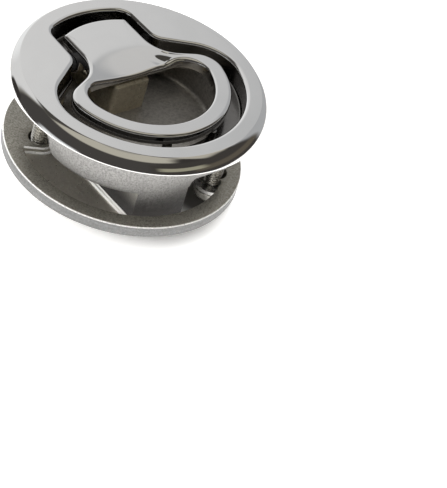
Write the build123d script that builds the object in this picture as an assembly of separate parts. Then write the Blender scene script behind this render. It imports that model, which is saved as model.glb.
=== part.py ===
from build123d import *
import math
import os

# Round flush pull latch for a door or hatch panel.
# Millimetres. +Z is the front of the panel (up), Z = 0 is the seat of the bezel's flange on the panel.
# +Y points to the hinge end of the handle, where the bolt comes out; -Y is the end that the finger lifts.

# ---- bezel and cup ----
R_BEZEL = 31.0        # outside radius of the bezel
Z_RIM = 0.6           # height of the bezel's widest circle over the seat
Z_TOP = 3.2           # top face of the bezel and of the handle
R_FLAT = 28.2         # outside radius of the bezel's flat top ring
R_PILOT = 25.2        # shoulder that centres the latch in its cut-out
L_PILOT = 3.4
R_COLLAR = 22.0       # outside of the cup
Z_LIP = -13.9         # lower edge of the cup's round wall
R_CAVITY = 19.6       # inside of the cup
Z_FLOOR = -9.0        # floor of the cup
Z_LEDGE = -2.0        # ledge round the inside, under the handle
X_BODY = 10.6         # half width of the lower body
R_BODY = 21.6         # its round ends
Z_BODY = -22.0        # bottom of the lower body at the finger end
Z_HOUSING = -26.2     # bottom of the bolt housing
Y_HOUSING = -9.2      # its end away from the bolt
Z_RECESS = -11.4      # ceiling of the right screw recess, where its tapped hole starts
R_BOSS = 3.6          # round boss of the left clamp screw
R_BOSS_OUT = 25.0     # outside of the right screw's boss, still inside the pilot
Y_BOSS = -21.8        # its straight side

# ---- opening for the handle ----
R_POCKET = 24.4
R_POCKET_CORNER = 3.5
X_POCKET_NECK = 11.4     # half width beside the handle's neck
# ---- handle ----
R_HANDLE = 21.0
X_NECK = 9.0
Z_HANDLE = 0.4        # underside of the handle's plate
R_FINGER = 17.1       # finger opening
R_FINGER_CORNER = 5.5
R_EDGE = 0.8          # rounding of the polished edges round the pocket and the handle
Y_CHORD = 2.0         # its straight edge, under the neck
Y_HINGE, Z_HINGE = 14.5, -1.7
R_PIN = 1.25
R_KNUCKLE = 2.5
ARM_X = 2.2           # half width of the drive arm
NOSE_Y, NOSE_Z, R_NOSE = 13.5, -17.2, 1.8

# ---- bolt ----
X_BOLT = 6.0
Z_BOLT_LOW, Z_BOLT_TOP = -26.0, -21.3
Y_BOLT_TAIL, Y_BOLT_TIP = 0.5, 35.0
Y_CHANNEL = -7.6      # closed end of the bolt's channel
LUG_Y0, LUG_Y1, LUG_Z = 8.4, 11.55, -13.9
SPRING_X, SPRING_Z = 3.4, -23.65
R_SPRING, R_SPRING_WIRE = 1.28, 0.22
Y_SPRING_END = 14.0   # bottom of the bolt's spring bores

# ---- back plate and clamp screws ----
R_PLATE = 28.5
Z_PLATE = -17.8       # face that bears on the back of the panel
T_PLATE = 2.9
R_PLATE_POCKET = 24.6
Z_PLATE_FLOOR = -19.2
X_WINDOW_LEFT, X_WINDOW_RIGHT = -13.2, 14.6
R_EAR = 4.0
R_CLAMP_HOLES = (2.7, 2.9)                 # left, right; the right one is open to the window
CLAMPS = [(-17.4, 9.8), (15.3, -16.2)]     # left, right
R_M4 = 2.0
T_FLAT, T_LOCK = 0.8, 0.9

# ---- rear cover ----
T_COVER = 1.55
COVER_SCREWS = [(-8.4, -6.6), (8.4, -6.6), (-8.4, 15.6), (8.4, 15.6)]


def cyl(r, z0, z1, x=0.0, y=0.0):
    """Upright cylinder between two heights."""
    return Pos(x, y, (z0 + z1) / 2) * Cylinder(r, z1 - z0)


def block(x0, x1, y0, y1, z0, z1):
    """Box between two corners."""
    return Pos((x0 + x1) / 2, (y0 + y1) / 2, (z0 + z1) / 2) * Box(x1 - x0, y1 - y0, z1 - z0)


def xcyl(r, x0, x1, y, z):
    """Cylinder along X."""
    return Pos((x0 + x1) / 2, y, z) * Rot(0, 90, 0) * Cylinder(r, x1 - x0)


def ycyl(r, y0, y1, x, z):
    """Cylinder along Y."""
    return Pos(x, (y0 + y1) / 2, z) * Rot(90, 0, 0) * Cylinder(r, y1 - y0)


def near(shape, x, y, tol=0.6):
    """Vertices of a flat outline close to a point and to its mirror image across the Y axis."""
    return [v for v in shape.vertices() if abs(abs(v.X) - x) < tol and abs(v.Y - y) < tol]


def keyhole(radius, top_x, neck_x, neck_y, slope, r_top, r_neck, r_shoulder):
    """Circle with a notch at each side, as the handle and its opening have: a round ring with a neck that widens to the full circle at +Y."""
    outline = Circle(radius)
    for side in (1, -1):
        notch = Polygon(
            (side * top_x, 40.0), (side * neck_x, neck_y), (side * 45.0, neck_y - slope * (45.0 - neck_x)), (side * 45.0, 40.0),
            align=None)
        outline -= notch
    # the three corners of each notch, found where the straight sides meet and cross the circle
    k = (top_x - neck_x) / (40.0 - neck_y)
    y = radius
    for _ in range(50):
        y = math.sqrt(radius ** 2 - (neck_x + k * (y - neck_y)) ** 2)
    x_corner, y_corner = neck_x + k * (y - neck_y), y
    # shoulder: x^2 + (neck_y - slope (x - neck_x))^2 = radius^2
    c = neck_y + slope * neck_x
    a2, b2, c2 = 1 + slope ** 2, -2 * slope * c, c * c - radius ** 2
    x_sh = (-b2 + math.sqrt(b2 * b2 - 4 * a2 * c2)) / (2 * a2)
    y_sh = c - slope * x_sh
    outline = fillet(near(outline, neck_x, neck_y), r_neck)
    outline = fillet(near(outline, x_corner, y_corner), r_top)
    outline = fillet(near(outline, x_sh, y_sh), r_shoulder)
    return outline


def pocket_outline():
    return keyhole(R_POCKET, X_POCKET_NECK - 0.8, X_POCKET_NECK, 10.6, 0.67, R_POCKET_CORNER, 4.0, 11.0)


def handle_outline():
    return keyhole(R_HANDLE, X_NECK - 0.26, X_NECK, 6.2, 0.47, 0.8, 8.0, 6.0)


# ------------------------------------------------------------------ bezel and cup, one casting
def make_bezel_cup():
    with BuildPart() as flange:
        with BuildSketch(Plane.XZ):
            with BuildLine():
                a = Line((0, 0), (30.45, 0))
                b = ThreePointArc((30.45, 0), (30.86, 0.2), (R_BEZEL, Z_RIM))
                c = ThreePointArc((R_BEZEL, Z_RIM), (29.72, 2.04), (R_FLAT, Z_TOP))
                Polyline((R_FLAT, Z_TOP), (0, Z_TOP), (0, 0))
            make_face()
        revolve(axis=Axis.Z)
    solid = flange.part
    solid += chamfer(cyl(R_PILOT, -L_PILOT, 0.2).edges().group_by(Axis.Z)[0], 0.4)
    solid += fillet(cyl(R_COLLAR, Z_LIP, 0.1).edges().group_by(Axis.Z)[0], 1.0)
    # lower body: narrow block with round ends, and the deeper bolt housing at its hinge end
    body = block(-X_BODY, X_BODY, -30, 30, Z_BODY, -8.0) & cyl(R_BODY, Z_BODY, -8.0)
    body = fillet(body.edges().filter_by(lambda e: e.center().Z < Z_BODY + 0.01 and e.center().Y < -5), 1.6)
    housing = block(-X_BODY, X_BODY, Y_HOUSING, 30, Z_HOUSING, Z_BODY + 0.5) & cyl(R_BODY, Z_HOUSING, Z_BODY + 0.5)
    # bosses of the clamp screws, outside the round wall
    left, right = CLAMPS
    boss_left = cyl(R_BOSS, Z_RECESS, -3.0, *left)
    boss_right = block(0, 22, Y_BOSS, -6, Z_RECESS - 1.0, -3.0) & cyl(R_BOSS_OUT, Z_RECESS - 1.0, -3.0)
    solid = solid + body + housing + boss_right
    # recess for the right clamp screw, with a rounded upper corner
    cut = extrude(Plane.XZ * (Pos(2.0 + 20, Z_RECESS - 20) * RectangleRounded(40, 40, 1.6)), amount=30)
    cut = cut & block(0, 45, Y_HOUSING - 40, Y_HOUSING, -60, 0)
    solid -= cut
    # recess for the left clamp screw
    with BuildPart() as sweep_left:
        with BuildSketch(Plane.YZ):
            Polygon((-2.6, -60.0), (-2.6, -14.2), (-1.3, -13.6), (0.0, -12.9), (1.0, -12.05), (1.9, -10.8), (45.0, -10.8), (45.0, -60.0), align=None)
        extrude(amount=-45)
    solid -= sweep_left.part & block(-45, -X_BODY, -10, 45, -60, 0)
    with BuildPart() as outer_left:
        with BuildSketch(Plane.YZ):
            Polygon((1.8, -11.0), (1.9, -10.8), (3.05, -9.7), (3.9, -8.7), (45.0, -8.7), (45.0, -11.0), align=None)
        extrude(amount=-45)
    solid -= (outer_left.part & block(-45, -X_BODY, -10, 45, -60, 0)) - cyl(20.9, -30, 0)
    solid += boss_left

    # opening for the handle, ledge and cup
    hole = pocket_outline()
    solid -= Pos(0, 0, Z_LEDGE) * extrude(hole, amount=Z_TOP - Z_LEDGE + 1)
    rim = [e for e in solid.edges() if abs(e.center().Z - Z_TOP) < 0.01 and abs(e.position_at(0.5).Z - Z_TOP) < 0.01
           and max(math.hypot(e.position_at(t).X, e.position_at(t).Y) for t in (0, 0.5, 1)) < R_POCKET + 0.1]
    solid = fillet(rim, R_EDGE)
    inner = hole & Circle(R_CAVITY)
    solid -= Pos(0, 0, -4.2) * extrude(inner, amount=4.2)
    # room for the bushes beside the knuckles
    solid -= block(-11.1, 11.1, 12.3, 17.3, -4.2, Z_LEDGE + 0.1)
    cavity = cyl(R_CAVITY, Z_FLOOR, -4.0)
    cavity = fillet(cavity.edges().group_by(Axis.Z)[0], 1.4)
    # bosses for the clamp screws stand at the cup's wall
    for x, y in CLAMPS:
        cavity -= cyl(3.5, Z_FLOOR - 1, -5.0, x, y)
    solid -= cavity
    # two pads on the ledge, where the closed ring rests
    for x in (-6.5, 6.5):
        solid += cyl(1.1, Z_LEDGE - 0.5, Z_HANDLE - 0.1, x, -19.35)

    # hollow box that houses the handle's drive arm, on the cup's floor
    with BuildPart() as box:
        with BuildSketch(Plane.YZ):
            Polygon((2.0, -9.6), (2.0, -0.6), (10.6, -0.6), (10.6, -4.9), (20.3, -4.9), (20.3, -9.6), align=None)
        extrude(amount=5.2, both=True)
    tower = box.part
    tower = fillet(tower.edges().filter_by(lambda e: e.center().Y < 10.7 and e.center().Z > -5.5 and not (e.center().Y > 10.5 and e.center().Z < -0.8)), 1.1)
    solid += tower & cyl(20.2, -9.6, 0)
    # slot for the arm, through the floor to the bolt
    solid -= block(-2.7, 2.7, 3.4, 17.6, -22.5, 0.0)
    solid -= block(-2.7, 2.7, 0.2, 4.0, -22.5, -12.9)
    # bolt channel
    solid -= block(-X_BOLT - 0.15, X_BOLT + 0.15, Y_CHANNEL, 30, Z_HOUSING - 1, Z_BOLT_TOP + 0.15)
    # holes: hinge pin from the right side, spring guides, tapped holes
    solid -= xcyl(R_PIN, -15.5, 30, Y_HINGE, Z_HINGE)
    for x in (-SPRING_X, SPRING_X):
        solid -= ycyl(0.75, Y_HOUSING - 1, Y_CHANNEL + 1, x, SPRING_Z)
    for x, y in CLAMPS:
        solid -= cyl(R_M4, Z_RECESS - 1, -6.2, x, y)
    for x, y in COVER_SCREWS:
        solid -= cyl(1.25, Z_HOUSING - 1, -21.4, x, y)
    return solid


# ------------------------------------------------------------------ handle, one casting
def make_pull_handle():
    opening = Circle(R_FINGER) - Pos(0, Y_CHORD + 20) * Rectangle(60, 40)
    opening = fillet([v for v in opening.vertices()], R_FINGER_CORNER)
    plate = Pos(0, 0, Z_HANDLE) * extrude(handle_outline() - opening, amount=Z_TOP - Z_HANDLE)
    plate = fillet(plate.edges().group_by(Axis.Z)[-1], R_EDGE)
    # dished lip for the finger on the neck's edge
    dish_r, dish_c, ball = 15.3, -6.5, 50.0
    lift = math.sqrt(ball ** 2 - dish_r ** 2)
    plate -= (Pos(0, dish_c, Z_TOP + lift) * Sphere(ball)) & block(-20, 20, -1.5, 12, 0, 5)
    # the underside rises towards the hinge end, so that it clears the ledge as it swings down
    with BuildPart() as relief:
        with BuildSketch(Plane.YZ):
            Polygon((17.0, Z_HANDLE - 1), (17.0, Z_HANDLE), (21.5, 2.1), (21.5, Z_HANDLE - 1), align=None)
        extrude(amount=30, both=True)
    plate -= relief.part
    # knuckles
    solid = plate
    for x0, x1 in ((-8.7, -5.2), (5.2, 8.7)):
        solid += xcyl(R_KNUCKLE, x0, x1, Y_HINGE, Z_HINGE)
        solid += block(x0, x1, Y_HINGE - R_KNUCKLE, Y_HINGE + R_KNUCKLE, Z_HINGE, Z_HANDLE + 0.3)
    # drive arm: from the neck's underside past the pin to the round nose
    solid += xcyl(R_KNUCKLE, -ARM_X, ARM_X, Y_HINGE, Z_HINGE)
    solid += block(-ARM_X, ARM_X, 10.9, Y_HINGE + R_KNUCKLE, Z_HINGE, Z_HANDLE + 0.3)
    with BuildPart() as arm:
        with BuildSketch(Plane.YZ):
            Polygon((10.9, Z_HINGE), (11.2, -6.0), (12.3, -12.0), (NOSE_Y - R_NOSE + 0.3, NOSE_Z), (NOSE_Y + R_NOSE, NOSE_Z), (Y_HINGE + R_KNUCKLE, Z_HINGE), align=None)
        extrude(amount=ARM_X, both=True)
    solid += arm.part
    solid += xcyl(R_NOSE, -ARM_X, ARM_X, NOSE_Y, NOSE_Z)
    solid -= xcyl(R_PIN + 0.05, -12, 12, Y_HINGE, Z_HINGE)
    return solid


# ------------------------------------------------------------------ hinge
def make_hinge_pin():
    pin = xcyl(R_PIN, -15.5, 19.0, Y_HINGE, Z_HINGE)
    return chamfer(pin.edges().filter_by(GeomType.CIRCLE), 0.25)


def make_bush(side):
    x0, x1 = sorted((side * 8.85, side * 11.05))
    return xcyl(2.1, x0, x1, Y_HINGE, Z_HINGE) - xcyl(R_PIN + 0.02, x0 - 1, x1 + 1, Y_HINGE, Z_HINGE)


def coil(radius, wire, pitch, height):
    """Round wire wound round the Z axis."""
    path = Edge.make_helix(pitch, height, radius)
    start = Plane(origin=path @ 0, z_dir=path % 0)
    return sweep(start * Circle(wire), path=path, is_frenet=True)


def make_handle_spring():
    wire, r = 0.3, 1.75
    body = Rot(0, 90, 0) * coil(r, wire, 0.68, 2.04)
    body = Pos(2.75, Y_HINGE, Z_HINGE) * body
    # one leg lies under the handle behind the hinge and holds it up there, the other stands on the cup's floor
    legs = ycyl(wire, Y_HINGE, 17.0, 2.75, Z_HINGE + r)
    legs += cyl(wire, -4.85, Z_HINGE, 4.79, Y_HINGE + r)
    return body, legs


# ------------------------------------------------------------------ bolt
def make_slide_bolt():
    solid = block(-X_BOLT, X_BOLT, Y_BOLT_TAIL, Y_BOLT_TIP, Z_BOLT_LOW, Z_BOLT_TOP)
    with BuildPart() as bevel:
        with BuildSketch(Plane.YZ):
            Polygon((29.0, Z_BOLT_LOW - 0.01), (Y_BOLT_TIP + 0.01, -22.9), (Y_BOLT_TIP + 0.01, Z_BOLT_LOW - 0.01), align=None)
        extrude(amount=10, both=True)
    solid -= bevel.part
    # rounded corners of the nose in plan
    solid = fillet(solid.edges().filter_by(Axis.Z).filter_by(lambda e: e.center().Y > 34), 1.2)
    solid += block(-2.4, 2.4, LUG_Y0, LUG_Y1, Z_BOLT_TOP - 0.5, LUG_Z)
    for x in (-SPRING_X, SPRING_X):
        solid -= ycyl(1.7, Y_BOLT_TAIL - 1, Y_SPRING_END, x, SPRING_Z)
    return solid


def make_bolt_spring(x):
    height = Y_SPRING_END - Y_CHANNEL - 2 * R_SPRING_WIRE - 0.06
    spring = coil(R_SPRING, R_SPRING_WIRE, height / 13.0, height)
    return Pos(x, Y_CHANNEL + R_SPRING_WIRE + 0.03, SPRING_Z) * Rot(-90, 0, 0) * spring


def make_spring_guide(x):
    rod = ycyl(0.75, Y_HOUSING, 4.5, x, SPRING_Z)
    return chamfer(rod.edges().group_by(Axis.Y)[-1], 0.2)


# ------------------------------------------------------------------ rear cover and its screws
def make_rear_cover():
    z0 = Z_HOUSING - T_COVER
    solid = block(-X_BODY, X_BODY, Y_HOUSING, 30, z0, Z_HOUSING) & cyl(R_BODY, z0, Z_HOUSING)
    solid = fillet(solid.edges().group_by(Axis.Z)[0], 0.35)
    for x, y in COVER_SCREWS:
        solid -= cyl(1.35, z0 - 1, Z_HOUSING + 1, x, y)
        solid -= Pos(x, y, z0 + 0.55) * Cone(2.35, 1.35, 1.1)
    return solid


def make_cover_screw(x, y):
    z0 = Z_HOUSING - T_COVER
    solid = Pos(x, y, z0 + 0.05 + 0.55) * Cone(2.25, 1.25, 1.1) + cyl(1.25, z0 + 1.1, -21.6, x, y)
    for turn in (0, 90):
        solid -= Pos(x, y, z0 + 0.4) * Rot(0, 0, turn + 20) * Box(2.6, 0.5, 0.9)
    return solid


# ------------------------------------------------------------------ back plate
def make_back_plate():
    z_low = Z_PLATE - T_PLATE
    solid = cyl(R_PLATE, z_low, Z_PLATE)
    solid = fillet(solid.edges().group_by(Axis.Z)[-1] + solid.edges().group_by(Axis.Z)[0], 0.35)
    # pocket, with a full-height ear round each clamp screw; behind each ear the plate stays full height
    pocket = Circle(R_PLATE_POCKET)
    for (x, y), side in zip(CLAMPS, (1, -1)):
        a = math.degrees(math.atan2(y, x))
        pocket -= Pos(x, y) * Circle(R_EAR)
        pocket -= Pos(x, y) * Rot(0, 0, a) * Pos(6, 0) * Rectangle(12, 2 * R_EAR)
        pocket -= Pos(x, y + side * 20) * Rectangle(2 * R_EAR + 12, 40)
    solid -= Pos(0, 0, Z_PLATE_FLOOR) * extrude(pocket, amount=5)
    # window that the lower body passes through, with a low bead along its two long edges
    middle, width = (X_WINDOW_LEFT + X_WINDOW_RIGHT) / 2, X_WINDOW_RIGHT - X_WINDOW_LEFT
    window = (Pos(middle, 0) * Rectangle(width, 70)) & Circle(R_PLATE_POCKET - 0.02)
    solid -= Pos(0, 0, z_low - 1) * extrude(window, amount=8)
    for x, side, y0, y1 in ((X_WINDOW_LEFT, -1, -30, 8.0), (X_WINDOW_RIGHT, 1, -10.0, 30)):
        bead = ycyl(0.42, y0, y1, x + side * 0.42, Z_PLATE_FLOOR + 0.12)
        bead += block(*sorted((x, x + side * 0.84)), y0, y1, Z_PLATE_FLOOR - 0.8, Z_PLATE_FLOOR + 0.12)
        solid += bead & cyl(R_PLATE_POCKET + 0.3, z_low, Z_PLATE)
    for (x, y), r in zip(CLAMPS, R_CLAMP_HOLES):
        solid -= cyl(r, z_low - 1, Z_PLATE + 1, x, y)
    return solid


def make_clamp_screw(x, y):
    z_head = Z_PLATE - T_PLATE - T_FLAT - T_LOCK
    head = fillet(cyl(3.8, z_head - 2.3, z_head, x, y).edges().group_by(Axis.Z)[0], 0.9)
    solid = head + chamfer(cyl(R_M4, z_head - 0.5, -6.6, x, y).edges().group_by(Axis.Z)[-1], 0.4)
    for turn in (0, 90):
        solid -= Pos(x, y, z_head - 2.3) * Rot(0, 0, turn + 30) * Box(4.2, 0.8, 2.8)
    return solid


def make_flat_washer(x, y):
    z1 = Z_PLATE - T_PLATE
    return cyl(4.5, z1 - T_FLAT, z1, x, y) - cyl(2.15, z1 - 2, z1 + 1, x, y)


def make_lock_washer(x, y):
    z1 = Z_PLATE - T_PLATE - T_FLAT
    ring = cyl(3.6, z1 - T_LOCK, z1, x, y) - cyl(2.1, z1 - 2, z1 + 1, x, y)
    gap = Pos(x, y, z1 - T_LOCK / 2) * Rot(0, 0, 100) * Pos(3, 0, 0) * Rot(25, 0, 0) * Box(3.5, 0.5, 4)
    return ring - gap


def save(name, shape):
    solids = shape.solids()
    shape = solids[0] if len(solids) == 1 else Compound(solids)
    print(f"{name:20s} solids {len(solids)} volume {sum(s.volume for s in solids):9.1f} valid {shape.is_valid}")
    export_step(shape, f"parts/{name}.step")


if __name__ == "__main__":
    os.makedirs("parts", exist_ok=True)
    save("bezel_cup", make_bezel_cup())
    save("pull_handle", make_pull_handle())
    save("hinge_pin", make_hinge_pin())
    save("pivot_bush_left", make_bush(-1))
    save("pivot_bush_right", make_bush(1))
    coil_body, coil_legs = make_handle_spring()
    save("handle_spring", coil_body + coil_legs)
    save("slide_bolt", make_slide_bolt())
    save("bolt_spring_left", make_bolt_spring(-SPRING_X))
    save("bolt_spring_right", make_bolt_spring(SPRING_X))
    save("spring_guide_left", make_spring_guide(-SPRING_X))
    save("spring_guide_right", make_spring_guide(SPRING_X))
    save("rear_cover", make_rear_cover())
    for i, (x, y) in enumerate(COVER_SCREWS):
        save(f"cover_screw_{i + 1}", make_cover_screw(x, y))
    save("back_plate", make_back_plate())
    for side, (x, y) in zip(("left", "right"), CLAMPS):
        save(f"clamp_screw_{side}", make_clamp_screw(x, y))
        save(f"flat_washer_{side}", make_flat_washer(x, y))
        save(f"lock_washer_{side}", make_lock_washer(x, y))
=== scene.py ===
import math

import bmesh
import bpy
import numpy as np
from mathutils import Matrix, Vector


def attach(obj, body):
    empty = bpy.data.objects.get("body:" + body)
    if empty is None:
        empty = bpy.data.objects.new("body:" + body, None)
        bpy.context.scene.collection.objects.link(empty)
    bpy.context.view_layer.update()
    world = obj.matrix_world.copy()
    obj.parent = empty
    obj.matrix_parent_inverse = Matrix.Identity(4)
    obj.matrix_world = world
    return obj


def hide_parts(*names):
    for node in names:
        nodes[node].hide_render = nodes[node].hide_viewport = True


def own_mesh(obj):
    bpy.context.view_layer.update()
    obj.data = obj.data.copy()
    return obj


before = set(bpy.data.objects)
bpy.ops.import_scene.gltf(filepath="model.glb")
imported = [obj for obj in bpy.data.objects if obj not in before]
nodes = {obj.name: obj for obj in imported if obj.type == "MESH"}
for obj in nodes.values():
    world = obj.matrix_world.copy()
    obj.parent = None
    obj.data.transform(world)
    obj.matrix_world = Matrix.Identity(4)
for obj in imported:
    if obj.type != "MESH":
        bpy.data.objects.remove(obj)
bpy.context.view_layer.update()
MM = 0.001

# ------------------------------------------------------------------ materials


def new_material(name):
    m = bpy.data.materials.new(name)
    m.use_nodes = True
    nt = m.node_tree
    nt.nodes.clear()
    out = nt.nodes.new("ShaderNodeOutputMaterial")
    bsdf = nt.nodes.new("ShaderNodeBsdfPrincipled")
    nt.links.new(bsdf.outputs[0], out.inputs[0])
    coord = nt.nodes.new("ShaderNodeTexCoord")
    return m, nt, bsdf, coord.outputs["Object"]


def noise(nt, vec, scale, detail=3.0, rough=0.55, stretch=None):
    if stretch is not None:
        mp = nt.nodes.new("ShaderNodeMapping")
        mp.inputs["Scale"].default_value = stretch
        nt.links.new(vec, mp.inputs["Vector"])
        vec = mp.outputs[0]
    n = nt.nodes.new("ShaderNodeTexNoise")
    n.inputs["Scale"].default_value = scale
    n.inputs["Detail"].default_value = detail
    n.inputs["Roughness"].default_value = rough
    nt.links.new(vec, n.inputs["Vector"])
    return n.outputs["Fac"]


def ramp(nt, fac, stops):
    r = nt.nodes.new("ShaderNodeValToRGB")
    els = r.color_ramp.elements
    while len(els) < len(stops):
        els.new(0.5)
    for e, (p, c) in zip(els, stops):
        e.position = p
        e.color = (*c, 1.0) if len(c) == 3 else c
    nt.links.new(fac, r.inputs[0])
    return r.outputs[0]


def value_ramp(nt, fac, lo, hi, p0=0.0, p1=1.0):
    mr = nt.nodes.new("ShaderNodeMapRange")
    mr.inputs["From Min"].default_value = p0
    mr.inputs["From Max"].default_value = p1
    mr.inputs["To Min"].default_value = lo
    mr.inputs["To Max"].default_value = hi
    nt.links.new(fac, mr.inputs["Value"])
    return mr.outputs[0]


def mix(nt, fac, a, b, mode="MIX"):
    m = nt.nodes.new("ShaderNodeMix")
    m.data_type = "RGBA"
    m.blend_type = mode
    if isinstance(fac, float):
        m.inputs[0].default_value = fac
    else:
        nt.links.new(fac, m.inputs[0])
    for sock, v in ((m.inputs[6], a), (m.inputs[7], b)):
        if isinstance(v, tuple):
            sock.default_value = (*v, 1.0)
        else:
            nt.links.new(v, sock)
    return m.outputs[2]


def bump(nt, bsdf, height, strength, distance, prev=None):
    b = nt.nodes.new("ShaderNodeBump")
    b.inputs["Strength"].default_value = strength
    b.inputs["Distance"].default_value = distance
    nt.links.new(height, b.inputs["Height"])
    if prev is not None:
        nt.links.new(prev, b.inputs["Normal"])
    nt.links.new(b.outputs[0], bsdf.inputs["Normal"])
    return b.outputs[0]


def polished(name, base=(0.80, 0.79, 0.775), rough=(0.035, 0.075), wave=0.10):
    """Mirror-polished cast steel: faint haze, and the slow waves that hand polishing leaves."""
    m, nt, b, co = new_material(name)
    b.inputs["Metallic"].default_value = 1.0
    n1 = noise(nt, co, 70.0, 2.0)
    col = ramp(nt, n1, [(0.3, tuple(c * 0.965 for c in base)), (0.7, base)])
    nt.links.new(col, b.inputs["Base Color"])
    n2 = noise(nt, co, 900.0, 4.0)
    nt.links.new(value_ramp(nt, n2, rough[0], rough[1], 0.3, 0.7), b.inputs["Roughness"])
    n3 = noise(nt, co, 120.0, 1.0)
    bump(nt, b, n3, wave, 0.0004)
    return m


def blasted(name, light, dark, rough=0.5, grain=2600.0, bump_mm=0.05, metallic=0.85, tint=None, streak=None, pits_mm=0.08, low_shade=None):
    """Grit-blasted cast steel: fine sparkle, pits, slow random changes of tone and, where asked, painted shade towards
    the bottom.
    """
    m, nt, b, co = new_material(name)
    b.inputs["Metallic"].default_value = metallic
    fine = noise(nt, co, grain, 5.0, 0.7)
    col = ramp(nt, fine, [(0.34, dark), (0.62, light)])
    broad = noise(nt, co, 110.0, 3.0)
    col = mix(nt, value_ramp(nt, broad, 0.0, 0.45, 0.35, 0.7), col, tint or tuple(c * 0.82 for c in light), "MIX")
    if streak is not None:
        st = noise(nt, co, 60.0, 4.0, 0.6, (1.0, 1.0, 26.0))
        col = mix(nt, value_ramp(nt, st, 0.0, 0.5, 0.42, 0.62), col, streak)
    # painted shade: the colour darkens towards the bottom, standing in for the shadow near the back plate
    if low_shade is not None:
        split = nt.nodes.new("ShaderNodeSeparateXYZ")
        nt.links.new(co, split.inputs[0])
        rise = nt.nodes.new("ShaderNodeMapRange")
        rise.interpolation_type = "SMOOTHSTEP"
        rise.inputs["From Min"].default_value = low_shade[0] * MM
        rise.inputs["From Max"].default_value = low_shade[1] * MM
        nt.links.new(split.outputs["Z"], rise.inputs["Value"])
        col = mix(nt, rise.outputs[0], low_shade[2], col)
    nt.links.new(col, b.inputs["Base Color"])
    nt.links.new(value_ramp(nt, fine, rough + 0.1, rough - 0.1, 0.3, 0.7), b.inputs["Roughness"])
    n = bump(nt, b, fine, 0.8, bump_mm * MM)
    bump(nt, b, noise(nt, co, 700.0, 3.0), 0.5, pits_mm * MM, n)
    return m


def turned(name, base, rough=0.24, metallic=1.0, scale=900.0, stretch=(1.0, 1.0, 14.0)):
    """Machined or drawn metal with fine marks."""
    m, nt, b, co = new_material(name)
    b.inputs["Metallic"].default_value = metallic
    n = noise(nt, co, scale, 3.0, 0.6, stretch)
    col = ramp(nt, n, [(0.3, tuple(c * 0.86 for c in base)), (0.7, base)])
    nt.links.new(col, b.inputs["Base Color"])
    nt.links.new(value_ramp(nt, n, rough - 0.06, rough + 0.08, 0.3, 0.7), b.inputs["Roughness"])
    bump(nt, b, n, 0.25, 0.02 * MM)
    return m


def plastic(name, base):
    m, nt, b, co = new_material(name)
    n = noise(nt, co, 500.0, 3.0)
    nt.links.new(ramp(nt, n, [(0.3, tuple(c * 0.94 for c in base)), (0.7, base)]), b.inputs["Base Color"])
    nt.links.new(value_ramp(nt, n, 0.38, 0.5, 0.3, 0.7), b.inputs["Roughness"])
    return m


MAT_BEZEL = polished("bezel_polished")
MAT_HANDLE = polished("handle_polished")
# semi-polished steel with a near-black base colour for the pocket's walls, ledge and stop pads: painted shade for the
# dark gap round the handle
MAT_POCKET_SHADED = polished("pocket_semi_polished_painted_dark", (0.17, 0.163, 0.155), (0.14, 0.26), 0.25)
MAT_CAVITY = blasted("cup_inside_cast", (0.50, 0.475, 0.44), (0.30, 0.285, 0.26), 0.38, 1500.0, 0.03, 0.9)
# blasted outside of the cup, with painted shade towards its bottom
MAT_CUP = blasted("cup_blasted", (0.43, 0.42, 0.405), (0.22, 0.215, 0.21), 0.45, 2300.0, 0.06, 0.85, low_shade=(-19.4, -12.6, (0.035, 0.032, 0.03)))
# near-black copy of the blasted steel on the faces of the recess under the collar: painted shade
MAT_RECESS_SHADE = blasted("recess_painted_shade", (0.17, 0.165, 0.16), (0.09, 0.088, 0.085), 0.4, 1500.0, 0.03, 0.9)
# lighter, less metallic copy of the blasted steel for the body's flat side faces: painted light that evens out their
# shade; it also takes the painted shade towards the bottom
MAT_BODY_SIDE_LIT = blasted("body_side_painted_light", (0.56, 0.54, 0.49), (0.38, 0.36, 0.33), 0.45, 2200.0, 0.04, 0.55, low_shade=(-19.4, -12.6, (0.035, 0.032, 0.03)))
MAT_PLATE = blasted("plate_blasted", (0.43, 0.41, 0.36), (0.19, 0.18, 0.155), 0.5, 2600.0, 0.05, 0.85)
MAT_PLATE_SIDE = blasted("plate_side", (0.27, 0.27, 0.267), (0.17, 0.17, 0.167), 0.45, 2200.0, 0.03, 0.85, streak=(0.15, 0.15, 0.147))
MAT_PLATE_FLOOR = blasted("plate_floor", (0.62, 0.59, 0.535), (0.52, 0.49, 0.44), 0.34, 1100.0, 0.008, 0.85, pits_mm=0.015)
# near-white and non-metallic: painted highlight on the window's beads
MAT_BEAD_HIGHLIGHT = blasted("plate_bead_painted_highlight", (1.0, 0.99, 0.95), (0.95, 0.935, 0.89), 0.3, 900.0, 0.003, 0.0, pits_mm=0.003)
# near-white: painted highlight for the plate's outer top edge and the left ear's edges
MAT_EDGE_HIGHLIGHT = blasted("plate_edge_painted_highlight", (0.97, 0.96, 0.93), (0.88, 0.87, 0.84), 0.3, 900.0, 0.003, 0.35, pits_mm=0.003)
MAT_TOWER = blasted("arm_box_cast", (0.80, 0.73, 0.58), (0.55, 0.50, 0.39), 0.35, 1200.0, 0.03, 0.9)
MAT_SCREW = turned("screw_steel", (0.66, 0.64, 0.59), 0.24)
MAT_PIN = turned("pin_steel", (0.62, 0.61, 0.59), 0.2, stretch=(14.0, 1.0, 1.0))
MAT_BOLT = turned("bolt_steel", (0.60, 0.59, 0.57), 0.28, stretch=(1.0, 14.0, 1.0))
MAT_COVER = turned("cover_steel", (0.58, 0.57, 0.56), 0.34, stretch=(1.0, 10.0, 1.0))
MAT_WASHER = turned("washer_steel", (0.64, 0.63, 0.61), 0.25)
MAT_WIRE = turned("spring_wire", (0.50, 0.485, 0.46), 0.25)
MAT_BUSH = plastic("bush_acetal", (0.035, 0.035, 0.037))

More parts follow.
